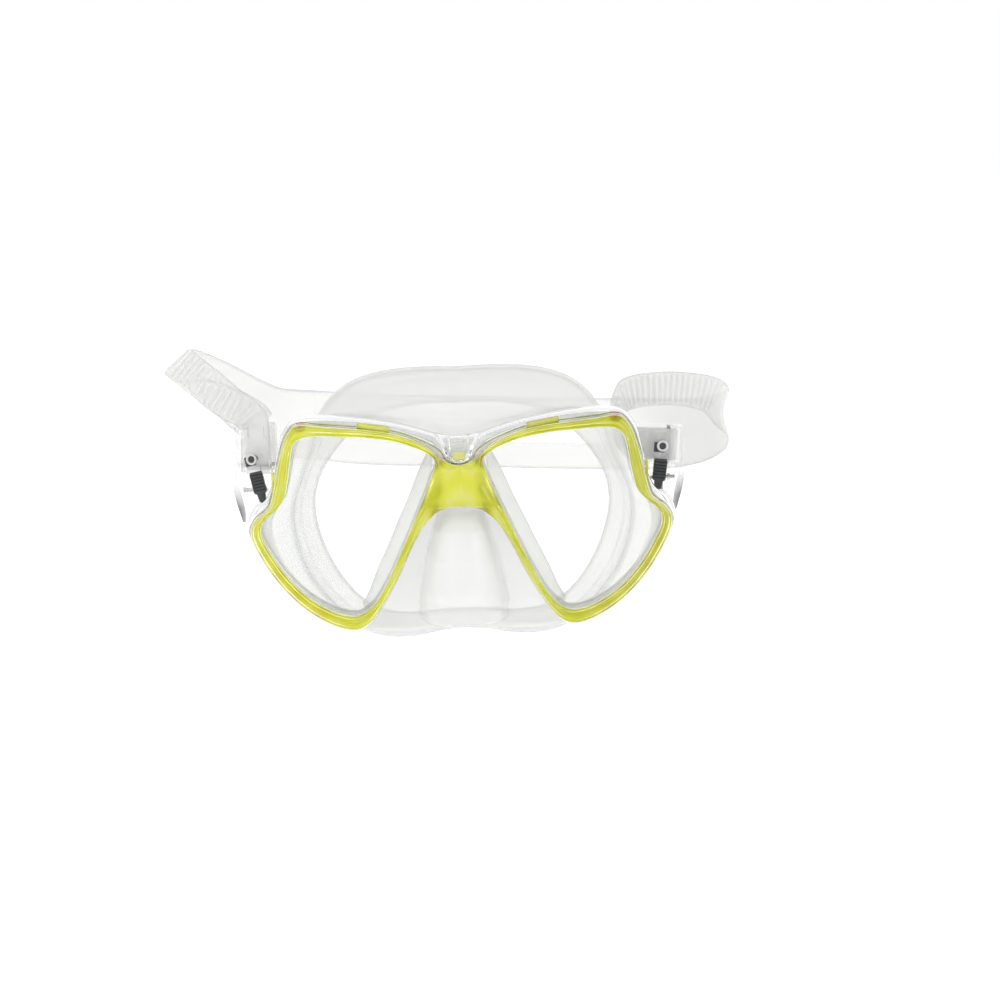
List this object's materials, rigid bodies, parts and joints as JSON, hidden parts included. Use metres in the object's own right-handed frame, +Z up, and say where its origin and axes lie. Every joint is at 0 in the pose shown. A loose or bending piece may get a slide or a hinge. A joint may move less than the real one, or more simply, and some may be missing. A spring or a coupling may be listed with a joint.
{
  "type": "snorkel mask",
  "caption": "Two-lens diving mask with a silicone skirt and nose pocket, a clear frame under a yellow front frame, and a rubber strap on folding swivel buckles.",
  "frame": {"origin": "on the mask's middle plane, at the depth where the skirt's rim meets the temples, level with the middle of the lens openings' height", "axes": "+Z up as worn, -Y out through the lenses, +X towards the wearer's left"},
  "size_m": [0.2218, 0.1103, 0.1125],
  "materials": {
    "skirt_silicone": "satin translucent white silicone",
    "strap_silicone": "satin translucent white silicone",
    "clear_frame": "clear moulded polycarbonate",
    "clear_buckle": "clear moulded polycarbonate",
    "yellow_plastic": "translucent yellow moulding",
    "lens_glass": "clear tempered glass",
    "grey_plastic": "dark grey moulding",
    "steel": "stainless steel"
  },
  "bodies": {
    "mask": {"skirt": "skirt_silicone", "main_frame": "clear_frame", "front_frame": "yellow_plastic", "left_lens": "lens_glass", "right_lens": "lens_glass", "strap_headband": "strap_silicone", "left_strap_bend": "strap_silicone", "right_strap_bend": "strap_silicone"},
    "left_arm": {"left_arm": "clear_buckle", "left_hinge_pin": "steel", "left_latch_pin": "steel", "left_latch_spring": "steel"},
    "left_latch": {"left_latch": "grey_plastic"},
    "left_buckle": {"left_housing": "clear_buckle", "left_rivet": "grey_plastic", "left_roller_pin": "steel", "left_strap_tail": "strap_silicone"},
    "left_roller": {"left_roller": "clear_buckle"},
    "right_arm": {"right_arm": "clear_buckle", "right_hinge_pin": "steel", "right_latch_pin": "steel", "right_latch_spring": "steel"},
    "right_latch": {"right_latch": "grey_plastic"},
    "right_buckle": {"right_housing": "clear_buckle", "right_rivet": "grey_plastic", "right_roller_pin": "steel", "right_strap_tail": "strap_silicone"},
    "right_roller": {"right_roller": "clear_buckle"}
  },
  "joints": [
    {"name": "left_fold", "type": "hinge", "parent": "mask", "child": "left_arm", "pos_m": [0.0766, -0.0245, -0.0052], "axis": [0, 0, 1], "range_deg": [-30, 4], "deforming": ["left_strap_bend"]},
    {"name": "left_latch_press", "type": "hinge", "parent": "left_arm", "child": "left_latch", "pos_m": [0.07701, -0.03039, 0.0033], "axis": [-0.9976, -0.0698, 0], "range_deg": [0, 5], "stiffness_Nm_per_rad": 0.02},
    {"name": "left_swivel", "type": "hinge", "parent": "left_arm", "child": "left_buckle", "pos_m": [0.0766, -0.0245, 0.0155], "axis": [-0.0698, 0.9976, 0], "range_deg": [0, 85]},
    {"name": "left_roller_spin", "type": "hinge", "parent": "left_buckle", "child": "left_roller", "pos_m": [0.07968, -0.02569, 0.01524], "axis": [0.0869, 0.0061, 0.9962], "continuous": true},
    {"name": "right_fold", "type": "hinge", "parent": "mask", "child": "right_arm", "pos_m": [-0.0766, -0.0245, -0.0052], "axis": [0, 0, -1], "range_deg": [-8, 44], "deforming": ["right_strap_bend"]},
    {"name": "right_latch_press", "type": "hinge", "parent": "right_arm", "child": "right_latch", "pos_m": [-0.07823, -0.03017, 0.0033], "axis": [-0.9613, 0.2756, 0], "range_deg": [0, 5], "stiffness_Nm_per_rad": 0.02},
    {"name": "right_swivel", "type": "hinge", "parent": "right_arm", "child": "right_buckle", "pos_m": [-0.0766, -0.0245, 0.0155], "axis": [0.2756, 0.9613, 0], "range_deg": [-20, 20]},
    {"name": "right_roller_spin", "type": "hinge", "parent": "right_buckle", "child": "right_roller", "pos_m": [-0.07699, -0.02585, 0.0125], "axis": [0.9613, -0.2756, 0], "continuous": true}
  ]
}
